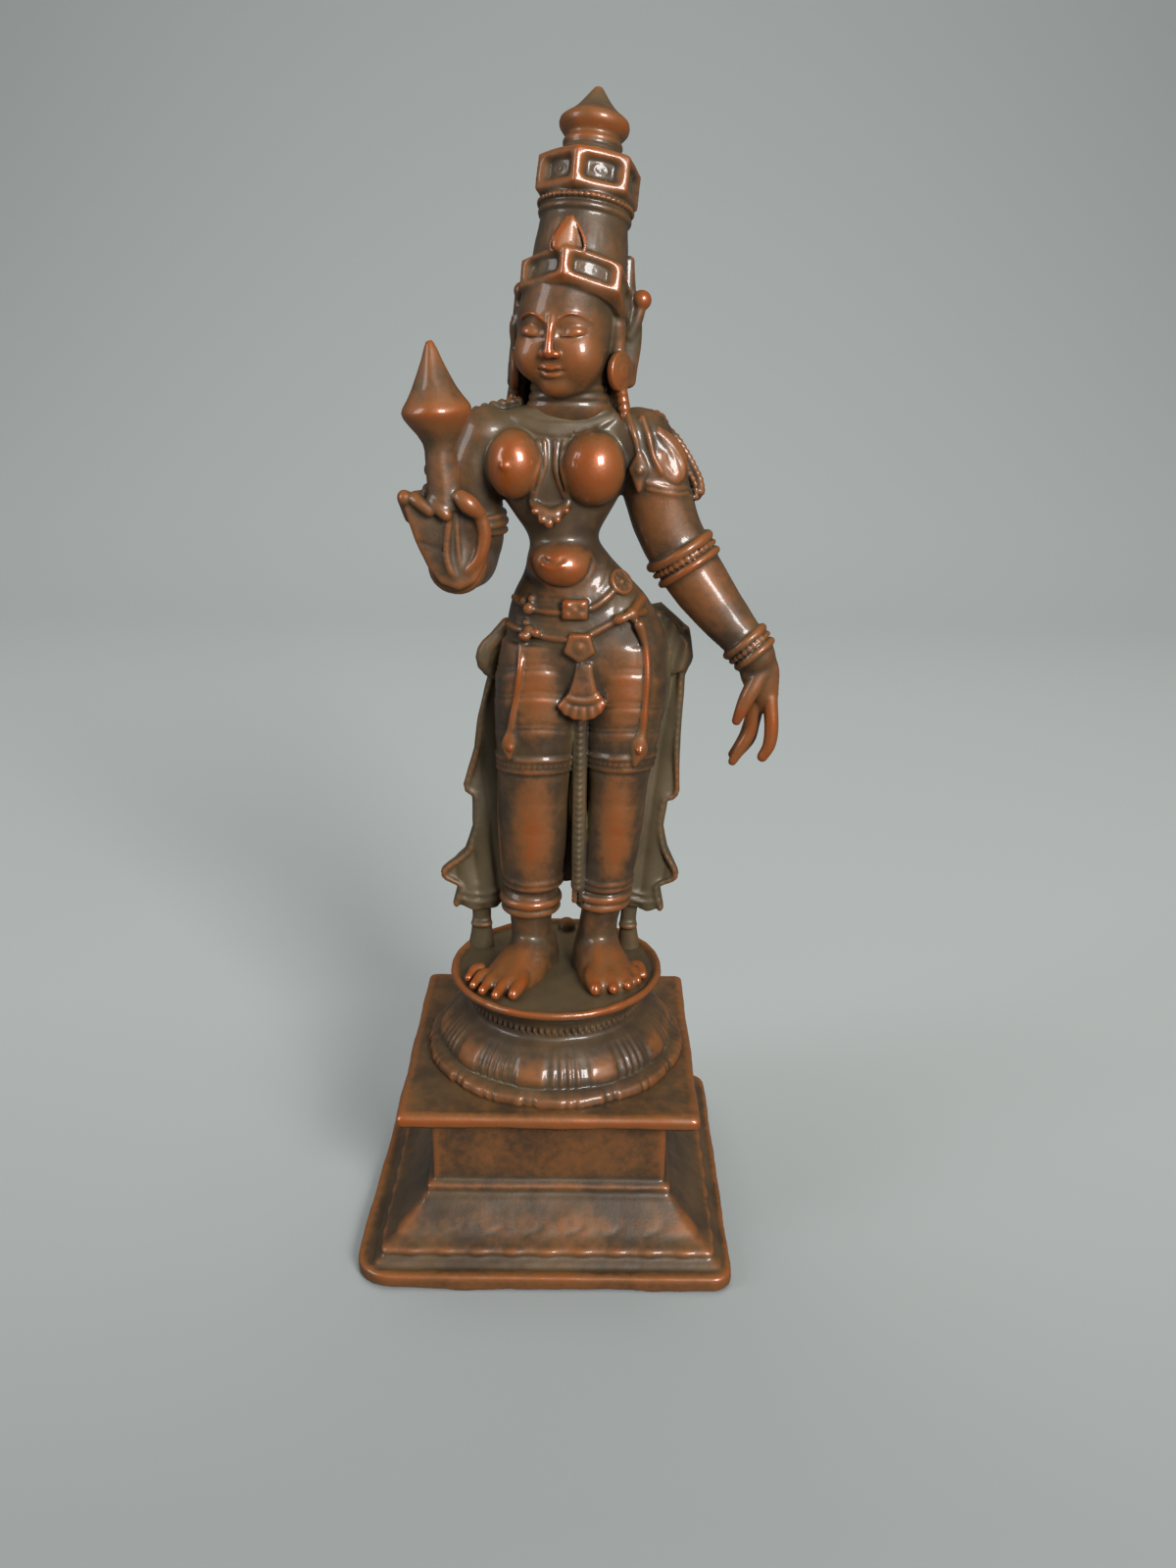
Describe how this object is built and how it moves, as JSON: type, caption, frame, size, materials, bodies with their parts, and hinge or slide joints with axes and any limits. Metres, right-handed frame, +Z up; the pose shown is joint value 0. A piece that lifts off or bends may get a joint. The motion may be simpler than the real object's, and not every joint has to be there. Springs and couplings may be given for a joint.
{
  "type": "bhudevi figure",
  "caption": "Cast copper-alloy standing goddess with a tall crown, a raised lotus bud and a hanging left arm, on a lotus foot and a square stepped plinth.",
  "frame": {"origin": "centre of the plinth's flat underside, on the surface that it stands on", "axes": "+Z up along the figure to the crown's tip, she looks towards -Y, +X towards her left arm"},
  "size_m": [0.0665, 0.0598, 0.1751],
  "materials": {
    "copper_alloy": "dark brown patina, rubbed to orange-brown metal on the high spots"
  },
  "bodies": {
    "root": {"bhudevi_figure": "copper_alloy"}
  },
  "joints": []
}
